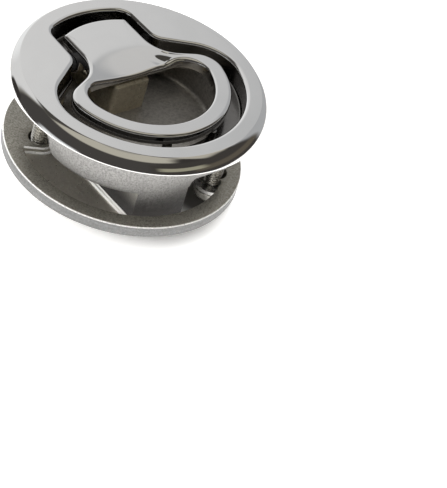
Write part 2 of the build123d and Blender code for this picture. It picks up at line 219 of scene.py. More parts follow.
# ------------------------------------------------------------------ mesh helpers


def link(name, mesh, mats, body="housing", node=None, sharp=32.0):
    for m in mats if isinstance(mats, (list, tuple)) else [mats]:
        mesh.materials.append(m)
    o = bpy.data.objects.new(name, mesh)
    bpy.context.scene.collection.objects.link(o)
    for p in mesh.polygons:
        p.use_smooth = True
    mesh.set_sharp_from_angle(angle=math.radians(sharp))
    if node:
        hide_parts(*([node] if isinstance(node, str) else node))
    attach(o, body)
    return o


def mesh_from(name, verts_mm, faces):
    me = bpy.data.meshes.new(name)
    me.from_pydata([tuple(v) for v in np.asarray(verts_mm, float) * MM], [], [tuple(int(i) for i in f) for f in faces])
    me.validate()
    me.update()
    return me


class Build:
    """Collects rings of points and faces with a material index each."""

    def __init__(self):
        self.v, self.f, self.m = [], [], []

    def ring(self, pts):
        start = len(self.v)
        self.v.extend([tuple(p) for p in pts])
        return np.arange(start, start + len(pts))

    def bridge(self, a, b, mat=0, closed=True, flip=False):
        n = len(a)
        for i in range(n if closed else n - 1):
            j = (i + 1) % n
            q = (a[i], a[j], b[j], b[i])
            self.f.append(q[::-1] if flip else q)
            self.m.append(mat)

    def loft(self, loops, mats=0, closed=True, flip=False):
        rings = [self.ring(p) for p in loops]
        for k in range(len(rings) - 1):
            self.bridge(rings[k], rings[k + 1], mats if isinstance(mats, int) else mats[k], closed, flip)
        return rings

    def cap(self, ring, centre, mat=0, flip=False):
        c = len(self.v)
        self.v.append(tuple(centre))
        n = len(ring)
        for i in range(n):
            t = (ring[i], ring[(i + 1) % n], c)
            self.f.append(t[::-1] if flip else t)
            self.m.append(mat)

    def mesh(self, name):
        me = mesh_from(name, self.v, self.f)
        if len(me.polygons) == len(self.m):
            me.polygons.foreach_set("material_index", self.m)
        return me


def at(xy, z):
    return np.column_stack([xy, np.full(len(xy), float(z))])


def arc_pts(c, r, a0, a1, step=0.35):
    n = max(4, int(abs(a1 - a0) * r / step))
    t = np.linspace(a0, a1, n)
    return np.column_stack([c[0] + r * np.cos(t), c[1] + r * np.sin(t)])


def unit(v):
    v = np.asarray(v, float)
    return v / np.linalg.norm(v)


def on_circle(p, d, rho, pick):
    b = 2 * np.dot(p, d)
    c = np.dot(p, p) - rho * rho
    root = math.sqrt(b * b - 4 * c)
    cand = [p + d * ((-b - root) / 2), p + d * ((-b + root) / 2)]
    return max(cand, key=pick)


def keyhole(R, top_x, neck_x, neck_y, slope, r_top, r_neck, r_sh, step=0.35):
    """Closed outline, anticlockwise: a circle with a filleted notch at each side."""
    p = np.array([neck_x, neck_y])
    d1 = unit((1, -slope))
    n1 = unit((slope, 1))
    d2 = unit((top_x - neck_x, 40.0 - neck_y))
    n2 = np.array([d2[1], -d2[0]])
    cs = on_circle(p - n1 * r_sh, d1, R - r_sh, lambda q: q[0])
    ct = on_circle(p - n2 * r_top, d2, R - r_top, lambda q: q[1])
    A = np.column_stack([d1, -d2])
    s = np.linalg.solve(A, (p + n2 * r_neck) - (p + n1 * r_neck))
    cn = p + n1 * r_neck + d1 * s[0]
    ang = lambda v: math.atan2(v[1], v[0])
    parts = [arc_pts((0, 0), R, -math.pi / 2, ang(cs), step)]
    parts.append(arc_pts(cs, r_sh, ang(cs), ang(n1), step * 0.5))
    a, b = cs + n1 * r_sh, cn - n1 * r_neck
    k = max(2, int(np.linalg.norm(b - a) / step))
    parts.append(a + (b - a) * np.linspace(0, 1, k)[:, None])
    a0, a1 = ang(-n1), ang(-n2)
    a0 = a0 % (2 * math.pi)
    a1 = a1 % (2 * math.pi)
    parts.append(arc_pts(cn, r_neck, a0, a1, step * 0.6))
    a, b = cn - n2 * r_neck, ct + n2 * r_top
    k = max(2, int(np.linalg.norm(b - a) / step))
    parts.append(a + (b - a) * np.linspace(0, 1, k)[:, None])
    parts.append(arc_pts(ct, r_top, ang(n2), ang(ct), step * 0.4))
    parts.append(arc_pts((0, 0), R, ang(ct), math.pi / 2, step))
    right = [parts[0]]
    for q in parts[1:]:
        right.append(q[1:] if np.linalg.norm(q[0] - right[-1][-1]) < 1e-6 else q)
    right = np.vstack(right)
    left = right[::-1][1:-1] * np.array([-1, 1])
    return np.vstack([right, left])


def normals2(pts):
    """Outward normals of an anticlockwise closed outline."""
    t = np.roll(pts, -1, 0) - np.roll(pts, 1, 0)
    t /= np.linalg.norm(t, axis=1)[:, None]
    return np.column_stack([t[:, 1], -t[:, 0]])


def radial(outline, angles, centre=(0, 0)):
    """Points of a star-shaped outline at given angles about a centre."""
    c = np.array(centre, float)
    q = outline - c
    a = np.unwrap(np.arctan2(q[:, 1], q[:, 0]))
    r = np.linalg.norm(q, axis=1)
    a = np.concatenate([a - 2 * math.pi, a, a + 2 * math.pi])
    r = np.concatenate([r, r, r])
    order = np.argsort(a)
    rr = np.interp(angles, a[order], r[order])
    return c + np.column_stack([rr * np.cos(angles), rr * np.sin(angles)])


def revolve(profile, n=192, mats=0, name="rev"):
    """Closed or open profile of (r, z) turned about Z."""
    b = Build()
    t = np.linspace(0, 2 * math.pi, n, endpoint=False)
    loops = [np.column_stack([r * np.cos(t), r * np.sin(t), np.full(n, z)]) for r, z in profile]
    b.loft(loops, mats)
    return b


def prism(outline, z0, z1, name):
    """Closed solid between two heights over an anticlockwise outline."""
    n = len(outline)
    v = np.vstack([at(outline, z0), at(outline, z1)])
    f = [(i, (i + 1) % n, n + (i + 1) % n, n + i) for i in range(n)]
    f.append(tuple(range(n))[::-1])
    f.append(tuple(range(n, 2 * n)))
    return mesh_from(name, v, f)


def box_mesh(x0, x1, y0, y1, z0, z1, name="box"):
    return prism(np.array([(x0, y0), (x1, y0), (x1, y1), (x0, y1)], float), z0, z1, name)


def cyl_mesh(r, a0, a1, centre, axis="z", n=64, name="cyl"):
    t = np.linspace(0, 2 * math.pi, n, endpoint=False)
    me = prism(np.column_stack([r * np.cos(t), r * np.sin(t)]), a0, a1, name)
    co = np.empty(len(me.vertices) * 3)
    me.vertices.foreach_get("co", co)
    co = co.reshape(-1, 3)
    if axis == "x":
        co = co[:, [2, 0, 1]]
    elif axis == "y":
        co = co[:, [1, 2, 0]]
    co = co + np.array(centre, float) * MM
    me.vertices.foreach_set("co", co.ravel())
    me.update()
    return me


def combine(base, others, op):
    """Boolean of a mesh with several others; returns a new mesh."""
    o = bpy.data.objects.new("tmp_base", base)
    bpy.context.scene.collection.objects.link(o)
    tools = []
    for k, t in enumerate(others):
        q = bpy.data.objects.new(f"tmp_tool_{k}", t)
        bpy.context.scene.collection.objects.link(q)
        tools.append(q)
        md = o.modifiers.new(f"b{k}", "BOOLEAN")
        md.object = q
        md.operation = op
        md.solver = "EXACT"
    dg = bpy.context.evaluated_depsgraph_get()
    dg.update()
    out = bpy.data.meshes.new_from_object(o.evaluated_get(dg))
    for q in tools + [o]:
        bpy.data.objects.remove(q)
    return out


def soften(me, width_mm, segments=2, angle=35.0):
    """Rounds the sharp edges of a mesh."""
    o = bpy.data.objects.new("tmp_soft", me)
    bpy.context.scene.collection.objects.link(o)
    md = o.modifiers.new("bevel", "BEVEL")
    md.width = width_mm * MM
    md.segments = segments
    md.limit_method = "ANGLE"
    md.angle_limit = math.radians(angle)
    md.use_clamp_overlap = True
    md.miter_outer = "MITER_ARC"
    dg = bpy.context.evaluated_depsgraph_get()
    dg.update()
    out = bpy.data.meshes.new_from_object(o.evaluated_get(dg))
    bpy.data.objects.remove(o)
    return out


def join(meshes, name):
    bm = bmesh.new()
    for me in meshes:
        bm.from_mesh(me)
    out = bpy.data.meshes.new(name)
    bm.to_mesh(out)
    bm.free()
    return out


# ------------------------------------------------------------------ sizes, in millimetres
R_BEZEL, Z_RIM, Z_TOP, R_FLAT = 31.0, 0.6, 3.2, 28.2
R_PILOT, R_COLLAR, Z_LIP = 25.2, 22.0, -13.9
X_BODY, R_BODY, Z_BODY, Z_HOUSING, Y_HOUSING, Z_RECESS = 10.6, 21.6, -22.0, -26.2, -9.2, -11.4
R_CAVITY, Z_FLOOR, Z_LEDGE = 19.6, -9.0, -2.0
Y_HINGE, Z_HINGE, R_PIN, R_KNUCKLE = 14.5, -1.7, 1.25, 2.5
CLAMPS = [(-17.4, 9.8), (15.3, -16.2)]
COVER_SCREWS = [(-8.4, -6.6), (8.4, -6.6), (-8.4, 15.6), (8.4, 15.6)]
R_PLATE, Z_PLATE, T_PLATE, R_PLATE_POCKET, Z_PLATE_FLOOR = 28.5, -17.8, 2.9, 24.6, -19.2
WINDOW = {-1: 13.2, 1: 14.6}

# ------------------------------------------------------------------ bezel: flange, pocket, ledge and the inside of the cup
pocket = keyhole(24.4, 10.6, 11.4, 10.6, 0.67, 3.5, 4.0, 11.0)
pn = normals2(pocket)
pang = np.arctan2(pocket[:, 1], pocket[:, 0])
prad = np.linalg.norm(pocket, axis=1)


def pring(r):
    return np.column_stack([r * np.cos(pang), r * np.sin(pang)])


b = Build()
loops, mats = [], []


def add(xy, z, mat=0):
    loops.append(at(xy, z))
    mats.append(mat)


add(pring(25.0), 0.0)
add(pring(30.80), 0.0)
for a in np.linspace(-90, 0, 7)[1:]:
    add(pring(30.845 + 0.15 * math.cos(math.radians(a))), 0.15 + 0.15 * math.sin(math.radians(a)))
# convex bevel from the widest circle to the flat
p0, p1, p2 = np.array([30.995, 0.15]), np.array([29.84, 2.0]), np.array([28.2, 3.2])
ctrl = 2 * p1 - 0.5 * (p0 + p2)
for t in np.linspace(0, 1, 25)[1:]:
    q = (1 - t) ** 2 * p0 + 2 * t * (1 - t) * ctrl + t * t * p2
    add(pring(q[0]), q[1])
add(pring(28.12), 3.2)
add(pring(27.9), 3.2)
edge = 0.85
add(pocket + pn * (edge + 0.12), 3.2)
for a in np.linspace(90, 180, 11):
    add(pocket + pn * (edge + edge * math.cos(math.radians(a))), 3.2 - edge + edge * math.sin(math.radians(a)))
add(pocket, 1.9, 1)
add(pocket, Z_LEDGE + 0.5, 1)
for a in np.linspace(0, 90, 5)[1:]:
    add(pocket - pn * (0.5 * (1 - math.cos(math.radians(a)))), Z_LEDGE + 0.5 - 0.5 * math.sin(math.radians(a)), 1)
inner_r = np.minimum(prad - 0.55, R_CAVITY + 0.25)
inner = np.column_stack([inner_r * np.cos(pang), inner_r * np.sin(pang)])
add(inner, Z_LEDGE, 1)
inner2 = np.column_stack([(inner_r - 0.25) * np.cos(pang), (inner_r - 0.25) * np.sin(pang)])
add(inner2, Z_LEDGE - 0.25, 1)
add(inner2, -4.2, 2)
add(pring(R_CAVITY), -4.2, 2)
add(pring(R_CAVITY), Z_FLOOR + 1.4, 2)
for a in np.linspace(0, 90, 7)[1:]:
    add(pring(R_CAVITY - 1.4 * (1 - math.cos(math.radians(a)))), Z_FLOOR + 1.4 - 1.4 * math.sin(math.radians(a)), 2)
rings = b.loft(loops, mats[1:])
b.cap(rings[-1], (0, 0, Z_FLOOR), 2)
me = b.mesh("bezel")
# slot through the cup's floor, under the arm's box
bm = bmesh.new()
bm.from_mesh(me)


def on_floor():
    return [f for f in bm.faces if all(abs(v.co.z - Z_FLOOR * MM) < 1e-6 for v in f.verts)]


for at_mm, way in (((-2.7, 0, 0), (1, 0, 0)), ((2.7, 0, 0), (1, 0, 0)), ((0, 3.4, 0), (0, 1, 0)), ((0, 17.6, 0), (0, 1, 0))):
    faces = on_floor()
    edges = list({e for f in faces for e in f.edges})
    verts = list({v for f in faces for v in f.verts})
    edges.sort(key=lambda e: e.index)
    verts.sort(key=lambda v: v.index)
    bmesh.ops.bisect_plane(bm, geom=faces + edges + verts, dist=1e-8, plane_co=[c * MM for c in at_mm], plane_no=way)
    bm.verts.index_update()
    bm.edges.index_update()
slot_faces = [f for f in on_floor() if abs(f.calc_center_median().x) < 2.7 * MM and 3.4 * MM < f.calc_center_median().y < 17.6 * MM]
bmesh.ops.delete(bm, geom=slot_faces, context="FACES")
bm.to_mesh(me)
bm.free()
bezel = link("bezel_flange_and_pocket", me, [MAT_BEZEL, MAT_POCKET_SHADED, MAT_CAVITY], node="bezel_cup")

# stop pads on the ledge
pads = []
for x in (-6.5, 6.5):
    pads.append(soften(cyl_mesh(1.1, Z_LEDGE - 0.4, 0.3, (x, -19.35, 0), n=40), 0.2))
link("stop_pads", join(pads, "stop_pads"), MAT_POCKET_SHADED, node="bezel_cup")

# hollow box for the drive arm, and the clamp screws' bosses, in the cup
tower_sec = [(2.0, -10.0), (2.0, -0.6), (10.6, -0.6), (10.6, -4.9), (20.0, -4.9), (20.0, -10.0)]
tv = [(x, y, z) for x in (-5.2, 5.2) for y, z in tower_sec]
n = len(tower_sec)
tf = [tuple(range(n)), tuple(range(n, 2 * n))[::-1]] + [(i, n + i, n + (i + 1) % n, (i + 1) % n) for i in range(n)]
tower = mesh_from("tower", tv, tf)
bm = bmesh.new()
bm.from_mesh(tower)
bmesh.ops.recalc_face_normals(bm, faces=bm.faces)
bm.to_mesh(tower)
bm.free()
tower = soften(tower, 1.1, 5, 40.0)
tower = combine(tower, [box_mesh(-2.7, 2.7, 3.4, 17.6, -22.5, 0.0)], "DIFFERENCE")
parts = [tower]
for x, y in CLAMPS:
    boss = soften(cyl_mesh(3.5, Z_FLOOR - 0.5, -5.0, (x, y, 0), n=64), 0.5, 3)
    parts.append(combine(boss, [cyl_mesh(20.9, -12.0, 0.0, (0, 0, 0), n=128)], "INTERSECT"))
link("arm_box_and_bosses", join(parts, "arm_box"), MAT_TOWER, node="bezel_cup")

# ------------------------------------------------------------------ outside of the cup and the lower body
prof = [(20.3, -9.7), (20.3, -2.4), (24.8, -2.4), (24.8, -0.02), (25.2, -0.02), (25.2, -3.0), (24.8, -3.4), (22.0, -3.4)]
prof += [(22.0, z) for z in (-6.0, -9.0, -12.9)]
prof += [(21.0 + math.cos(math.radians(a)), -12.9 - math.sin(math.radians(a))) for a in (18, 36, 54, 72, 90)]
prof += [(14.0, Z_LIP), (5.0, Z_LIP)]
rb = revolve(prof, 256)
last = len(rb.v) - 256
rb.cap(np.arange(last, last + 256), (0, 0, Z_LIP))
top_in = rb.ring(np.column_stack([5 * np.cos(np.linspace(0, 2 * math.pi, 256, endpoint=False)), 5 * np.sin(np.linspace(0, 2 * math.pi, 256, endpoint=False)), np.full(256, -9.7)]))
rb.bridge(top_in, np.arange(0, 256))
rb.cap(top_in, (0, 0, -9.7), flip=True)
collar = rb.mesh("collar")
bm = bmesh.new()
bm.from_mesh(collar)
bmesh.ops.recalc_face_normals(bm, faces=bm.faces)
bm.to_mesh(collar)
bm.free()


def round_end(x, r, y0=None, step=0.5, x_right=None):
    """Outline of |X| <= x cut by a circle, above y0 where one is given."""
    a = math.asin(x / r)
    pts = []
    if y0 is None:
        lo = arc_pts((0, 0), r, -math.pi / 2 - a, -math.pi / 2 + a, step)
    else:
        lo = np.array([(-x, y0), (x, y0)], float)
    hi = arc_pts((0, 0), r, math.pi / 2 - a, math.pi / 2 + a, step)
    return np.vstack([lo, hi])


body = prism(round_end(X_BODY, R_BODY), Z_BODY, -12.5, "body")
housing = prism(round_end(X_BODY, R_BODY, Y_HOUSING), Z_HOUSING, Z_BODY + 0.5, "housing")
# rounded lower edge at the finger end
bm = bmesh.new()
bm.from_mesh(body)
low = [e for e in bm.edges if all(abs(v.co.z - Z_BODY * MM) < 1e-7 for v in e.verts) and min(v.co.y for v in e.verts) < -0.012]
bmesh.ops.bevel(bm, geom=low, offset=1.4 * MM, segments=5, affect="EDGES", clamp_overlap=True)
bm.to_mesh(body)
bm.free()
a0, a1 = math.atan2(-21.8, math.sqrt(25.0 ** 2 - 21.8 ** 2)), math.asin(-6 / 25.0)
boss_right = prism(np.vstack([[(0.0, -6.0), (0.0, -21.8)], arc_pts((0, 0), 25.0, a0, a1, 0.5)]), Z_RECESS - 1.0, -2.9, "boss_right")
hollow = cyl_mesh(20.4, -9.6, 0.0, (0, 0, 0), n=256)
boss_right = combine(boss_right, [hollow], "DIFFERENCE")
cup = combine(collar, [body, housing, boss_right], "UNION")
rec = arc_pts((3.6, Z_RECESS - 1.6), 1.6, math.pi / 2, math.pi, 0.25)
rec = np.vstack([[(45.0, Z_RECESS)], rec, [(2.0, -60.0)], [(45.0, -60.0)]])
rv = [(x, y, z) for y in (-45.0, Y_HOUSING) for x, z in rec]
n = len(rec)
rf = [tuple(range(n)), tuple(range(n, 2 * n))[::-1]] + [(i, n + i, n + (i + 1) % n, (i + 1) % n) for i in range(n)]
recess = mesh_from("recess", rv, rf)
bm = bmesh.new()
bm.from_mesh(recess)
bmesh.ops.recalc_face_normals(bm, faces=bm.faces)
bm.to_mesh(recess)
bm.free()


def yz_prism(sec, x0, x1, name):
    """Closed solid between two X positions over a (y, z) outline."""
    n = len(sec)
    v = [(x, y, z) for x in (x0, x1) for y, z in sec]
    f = [tuple(range(n)), tuple(range(n, 2 * n))[::-1]] + [(i, n + i, n + (i + 1) % n, (i + 1) % n) for i in range(n)]
    me = mesh_from(name, v, f)
    bm = bmesh.new()
    bm.from_mesh(me)
    bmesh.ops.recalc_face_normals(bm, faces=bm.faces)
    bm.to_mesh(me)
    bm.free()
    return me


flare = yz_prism([(-2.6, -60.0), (-2.6, -14.2), (-1.3, -13.6), (0.0, -12.9), (1.0, -12.05), (1.9, -10.8), (45.0, -10.8), (45.0, -60.0)], -45.0, -X_BODY, "flare")
flare_top = yz_prism([(1.8, -11.0), (1.9, -10.8), (3.05, -9.7), (3.9, -8.7), (45.0, -8.7), (45.0, -11.0)], -45.0, -X_BODY, "flare_top")
flare_top = combine(flare_top, [cyl_mesh(20.9, -30.0, 0.0, (0, 0, 0), n=256)], "DIFFERENCE")
cuts = [recess, flare, flare_top]
cuts.append(box_mesh(-6.15, 6.15, -7.6, 30, Z_HOUSING - 1, -21.15))
cuts.append(box_mesh(-2.7, 2.7, 3.4, 17.6, -22.5, -9.2))
cuts.append(box_mesh(-2.7, 2.7, 0.2, 4.0, -22.5, -12.9))
cup = combine(cup, cuts, "DIFFERENCE")
boss_left = combine(cyl_mesh(3.6, Z_RECESS, -3.0, (CLAMPS[0][0], CLAMPS[0][1], 0), n=96), [cyl_mesh(20.4, -9.6, 0.0, (0, 0, 0), n=256)], "DIFFERENCE")
cup = combine(cup, [boss_left], "UNION")
cup = combine(cup, [cyl_mesh(2.0, Z_RECESS - 1, -9.9, (x, y, 0), n=48) for x, y in CLAMPS], "DIFFERENCE")
cup = soften(cup, 0.22, 2, 40.0)
dark = []
for p in cup.polygons:
    c, nrm = p.center / MM, p.normal
    # slot 1: painted shade on the faces of the recess under the collar
    inside = c.x > 1.95 and c.y < Y_HOUSING + 0.05 and c.z < Z_RECESS + 0.1 and math.hypot(c.x, c.y) < 24.9
    if inside and (nrm.z < -0.5 or nrm.x > 0.5 or abs(c.y - Y_HOUSING) < 0.3):
        dark.append(1)
    # slot 2: painted light on the body's flat side faces
    elif abs(nrm.x) > 0.9 and abs(abs(c.x) - X_BODY) < 0.2:
        dark.append(2)
    else:
        dark.append(0)
cup.materials.clear()
cup.polygons.foreach_set("material_index", dark)
link("cup_and_bolt_housing", cup, [MAT_CUP, MAT_RECESS_SHADE, MAT_BODY_SIDE_LIT], node="bezel_cup")

# ------------------------------------------------------------------ handle
outer = keyhole(21.0, 8.74, 9.0, 6.2, 0.47, 0.8, 8.0, 6.0)
on = normals2(outer)
HC = (0.0, -5.0)
oang = np.arctan2(outer[:, 1] - HC[1], outer[:, 0] - HC[0])
# finger opening
rf_, yc = 17.1, 2.0
fr = 5.5
cx = math.sqrt((rf_ - fr) ** 2 - (yc - fr) ** 2)
ca = math.atan2(yc - fr, cx)
D = np.vstack([
    arc_pts((0, 0), rf_, -math.pi / 2, ca, 0.25),
    arc_pts((cx, yc - fr), fr, ca, math.pi / 2, 0.15)[1:],
    np.column_stack([np.linspace(cx, -cx, 90), np.full(90, yc)])[1:],
    arc_pts((-cx, yc - fr), fr, math.pi / 2, math.pi - ca, 0.15)[1:],
    arc_pts((0, 0), rf_, math.pi - ca, 1.5 * math.pi, 0.25)[1:-1],
])
finger = radial(D, oang, HC)
fn = normals2(finger)


def smooth(x, a, c):
    t = np.clip((x - a) / (c - a), 0, 1)
    return t * t * (3 - 2 * t)


def dish(xy):
    """How far the neck's surface dips towards the finger opening."""
    x, y = xy[:, 0], xy[:, 1]
    r2 = (x / 1.12) ** 2 + (y + 5.6) ** 2
    s = 3.0 * np.maximum(0.0, 1.0 - r2 / 16.0 ** 2) ** 2
    along = (x - 9.2) * 0.72 - (y - 2.6) * 0.69
    across = (x - 9.2) * 0.69 + (y - 2.6) * 0.72
    dent = 0.52 * np.exp(-(along / 3.4) ** 2 / 2 - (across / 1.1) ** 2 / 2)
    return s * smooth(y, -2.0, 1.2) + dent * smooth(y, -3.5, -0.5)


roll = 1.15


def lip(xy):
    """Radius of the rounding along the opening's edge: large along the neck, small round the ring."""
    return 0.5 + (roll - 0.5) * smooth(xy[:, 1], -3.5, 1.4)


hb = Build()
loops, mats = [], []
# underside, from the opening outwards, then the outer side, the top and the opening's side
relief = lambda xy: 0.4 + np.maximum(0.0, (xy[:, 1] - 17.0)) * (1.7 / 4.5)


def hadd(xy, z):
    z = np.full(len(xy), float(z)) if np.isscalar(z) else z
    loops.append(np.column_stack([xy, z]))


lr = lip(finger)
top_z = lambda xy: Z_TOP - dish(xy)
low_e, up_e = 0.3, 0.8
hadd(finger + fn * 0.0, 0.4 + low_e)
for a in np.linspace(0, 90, 4)[1:]:
    hadd(finger + fn * (low_e * (1 - math.cos(math.radians(a)))), 0.4 + low_e - low_e * math.sin(math.radians(a)))
q = outer - on * (low_e + 0.1)
hadd(q, relief(q))
for a in np.linspace(90, 0, 4):
    q = outer - on * (low_e * (1 - math.cos(math.radians(a))))
    hadd(q, relief(q) + low_e - low_e * math.sin(math.radians(a)))
for a in np.linspace(0, 90, 12):
    q = outer - on * (up_e * (1 - math.cos(math.radians(a))))
    hadd(q, Z_TOP - up_e + up_e * math.sin(math.radians(a)))
q = outer - on * (up_e + 0.08)
hadd(q, Z_TOP)
start = q
stop = finger + fn * (lr + 0.02)[:, None]
for t in np.linspace(0, 1, 30)[1:]:
    t2 = 1 - (1 - t) ** 1.7
    xy = start + (stop - start) * t2
    hadd(xy, top_z(xy))
edge_drop = dish(finger + fn * lr[:, None])
for a in np.linspace(90, 0, 11)[1:]:
    xy = finger + fn * (lr * (1 - math.cos(math.radians(a))))[:, None]
    hadd(xy, Z_TOP - edge_drop - lr * (1 - math.sin(math.radians(a))) * np.minimum(1.0, (Z_TOP - edge_drop - 0.75) / np.maximum(lr, 1e-6)))
loops.append(loops[0].copy())
hrings = hb.loft(loops)
plate = hb.mesh("handle_plate")
bm = bmesh.new()
bm.from_mesh(plate)
bmesh.ops.remove_doubles(bm, verts=bm.verts, dist=1e-8)
bmesh.ops.recalc_face_normals(bm, faces=bm.faces)
bm.to_mesh(plate)
bm.free()
hp = [plate]


def side_prism(sec, x0, x1, name):
    """Closed solid between two X positions over a (y, z) outline."""
    n = len(sec)
    v = [(x, y, z) for x in (x0, x1) for y, z in sec]
    f = [tuple(range(n)), tuple(range(n, 2 * n))[::-1]] + [(i, n + i, n + (i + 1) % n, (i + 1) % n) for i in range(n)]
    me = mesh_from(name, v, f)
    bm = bmesh.new()
    bm.from_mesh(me)
    bmesh.ops.recalc_face_normals(bm, faces=bm.faces)
    bm.to_mesh(me)
    bm.free()
    return me


def knuckle_sec(extra=None):
    a = [(Y_HINGE + R_KNUCKLE * math.cos(t), Z_HINGE + R_KNUCKLE * math.sin(t)) for t in np.linspace(0, -math.pi, 25)]
    return a + [(Y_HINGE - R_KNUCKLE, 0.7), (Y_HINGE + R_KNUCKLE, 0.7)]


for x0, x1 in ((-8.7, -5.2), (5.2, 8.7)):
    hp.append(soften(side_prism(knuckle_sec(), x0, x1, "lug"), 0.2))
arc_n = [(13.5 + 1.8 * math.cos(t), -17.2 + 1.8 * math.sin(t)) for t in np.linspace(0, -math.pi, 17)]
arm = [(Y_HINGE + R_KNUCKLE, 0.7), (Y_HINGE + R_KNUCKLE, Z_HINGE), (15.3, -17.2)] + arc_n[1:-1] + [(12.0, -17.2), (12.3, -12.0), (11.2, -6.0), (10.9, Z_HINGE), (10.9, 0.7)]
hp.append(soften(side_prism(arm, -2.2, 2.2, "arm"), 0.2))
handle = link("pull_handle_ring", join(hp, "handle"), MAT_HANDLE, body="handle", node="pull_handle")

# ------------------------------------------------------------------ back plate
z_low = Z_PLATE - T_PLATE
disc_t = 256


def rev_solid(profile, n, name):
    b = Build()
    t = np.linspace(0, 2 * math.pi, n, endpoint=False)
    loops = [np.column_stack([r * np.cos(t), r * np.sin(t), np.full(n, z)]) for r, z in profile]
    r = b.loft(loops)
    b.cap(r[0], (0, 0, profile[0][1]), flip=True)
    b.cap(r[-1], (0, 0, profile[-1][1]))
    me = b.mesh(name)
    bm = bmesh.new()
    bm.from_mesh(me)
    bmesh.ops.recalc_face_normals(bm, faces=bm.faces)
    bm.to_mesh(me)
    bm.free()
    return me


e = 0.32
prof = [(10, z_low), (R_PLATE - e, z_low)]
prof += [(R_PLATE - e + e * math.cos(math.radians(a)), z_low + e + e * math.sin(math.radians(a))) for a in np.linspace(-75, 0, 6)]
prof += [(R_PLATE - e + e * math.cos(math.radians(a)), Z_PLATE - e + e * math.sin(math.radians(a))) for a in np.linspace(0, 90, 7)]
prof += [(10, Z_PLATE)]
disc = rev_solid(prof, disc_t, "disc")


def pocket_half(side):
    """Pocket between the window and the rim at one side, with its ear left standing, as an outline."""
    x, y = CLAMPS[0] if side < 0 else CLAMPS[1]
    xc = 10.6 if side < 0 else 11.2
    ea = math.atan2(y, x)
    a_w = math.acos(xc / R_PLATE_POCKET)
    w = math.asin(4.0 / R_PLATE_POCKET)
    if side < 0:
        rim = arc_pts((0, 0), R_PLATE_POCKET, ea + w, math.pi + a_w, 0.4)
        ear = arc_pts((x, y), 4.0, 2 * math.pi, ea + math.pi / 2, 0.25)
        return np.vstack([rim, [(-xc, y)], ear])
    rim = arc_pts((0, 0), R_PLATE_POCKET, ea + w, a_w, 0.4)
    ear = arc_pts((x, y), 4.0, math.pi, ea + math.pi / 2, 0.25)
    return np.vstack([rim, [(xc, y)], ear])


cuts = [prism(pocket_half(side), Z_PLATE_FLOOR, 0.0, "pocket") for side in (-1, 1)]
rw = R_PLATE_POCKET - 0.02
al, ar = math.asin(WINDOW[-1] / rw), math.asin(WINDOW[1] / rw)
window = np.vstack([arc_pts((0, 0), rw, -math.pi / 2 - al, -math.pi / 2 + ar, 0.4), arc_pts((0, 0), rw, math.pi / 2 - ar, math.pi / 2 + al, 0.4)])
cuts_w = [prism(window, z_low - 1, 0.0, "window")]
for (x, y), r in zip(CLAMPS, (2.7, 2.9)):
    cuts_w.append(cyl_mesh(r, z_low - 1, 0, (x, y, 0), n=64))
plate = combine(disc, cuts, "DIFFERENCE")
plate = combine(plate, cuts_w, "DIFFERENCE")
plate = soften(plate, 0.28, 3, 40.0)
me = plate
idx = []
for p in me.polygons:
    c, nrm = p.center / MM, p.normal
    r = math.hypot(c.x, c.y)
    # slot 3: painted highlight on the plate's outer top edge
    if r > R_PLATE - 0.42 and 0.3 < nrm.z < 0.985 and c.z > Z_PLATE - 0.6:
        idx.append(3)
    elif r > R_PLATE - 0.5 and abs(nrm.z) < 0.6:
        idx.append(1)
    elif c.z < Z_PLATE - 0.35 and r < R_PLATE_POCKET + 0.2 and c.z > Z_PLATE_FLOOR - 0.4 and math.hypot(c.x - CLAMPS[0][0], c.y - CLAMPS[0][1]) > 2.9 and math.hypot(c.x - CLAMPS[1][0], c.y - CLAMPS[1][1]) > 2.9:
        idx.append(2)
    else:
        idx.append(0)
me.materials.clear()
me.polygons.foreach_set("material_index", idx)
link("back_plate_dished", me, [MAT_PLATE, MAT_PLATE_SIDE, MAT_PLATE_FLOOR, MAT_EDGE_HIGHLIGHT], node="back_plate")

# beads along the window's long edges, with a hollow ramp behind each; their near-white, non-metallic colour is a
# painted highlight
for side, nm, y0, y1 in ((-1, "left", None, 8.0), (1, "right", -10.0, None)):
    b = Build()
    xw = WINDOW[side]
    sec = [(xw - 0.02, Z_PLATE_FLOOR - 0.9), (xw - 0.02, Z_PLATE_FLOOR + 0.1)]
    # two small steps with steep outer flanks
    for d, h in ((-0.02, 0.56), (0.03, 0.62), (0.10, 0.62), (0.13, 0.58), (0.42, 0.08), (0.50, 0.08), (0.57, 0.42), (0.63, 0.46), (0.70, 0.46), (0.73, 0.42), (0.97, 0.0)):
        sec.append((xw + d, Z_PLATE_FLOOR + h))
    sec += [(xw + 2.4, Z_PLATE_FLOOR - 0.3)]
    ys_hi = math.sqrt((R_PLATE_POCKET + 0.1) ** 2 - (xw + 0.4) ** 2)
    y0, y1 = (-ys_hi if y0 is None else y0), (ys_hi if y1 is None else y1)
    loops = [np.array([(side * xx, yy, zz) for xx, zz in sec]) for yy in np.linspace(y0, y1, 24)]
    b.loft(loops, 0, closed=False)
    me = b.mesh("bead")
    bm = bmesh.new()
    bm.from_mesh(me)
    bmesh.ops.recalc_face_normals(bm, faces=bm.faces)
    bm.to_mesh(me)
    bm.free()
    link(f"window_bead_{nm}", me, MAT_BEAD_HIGHLIGHT, node="back_plate")

# ------------------------------------------------------------------ clamp screws with their thread


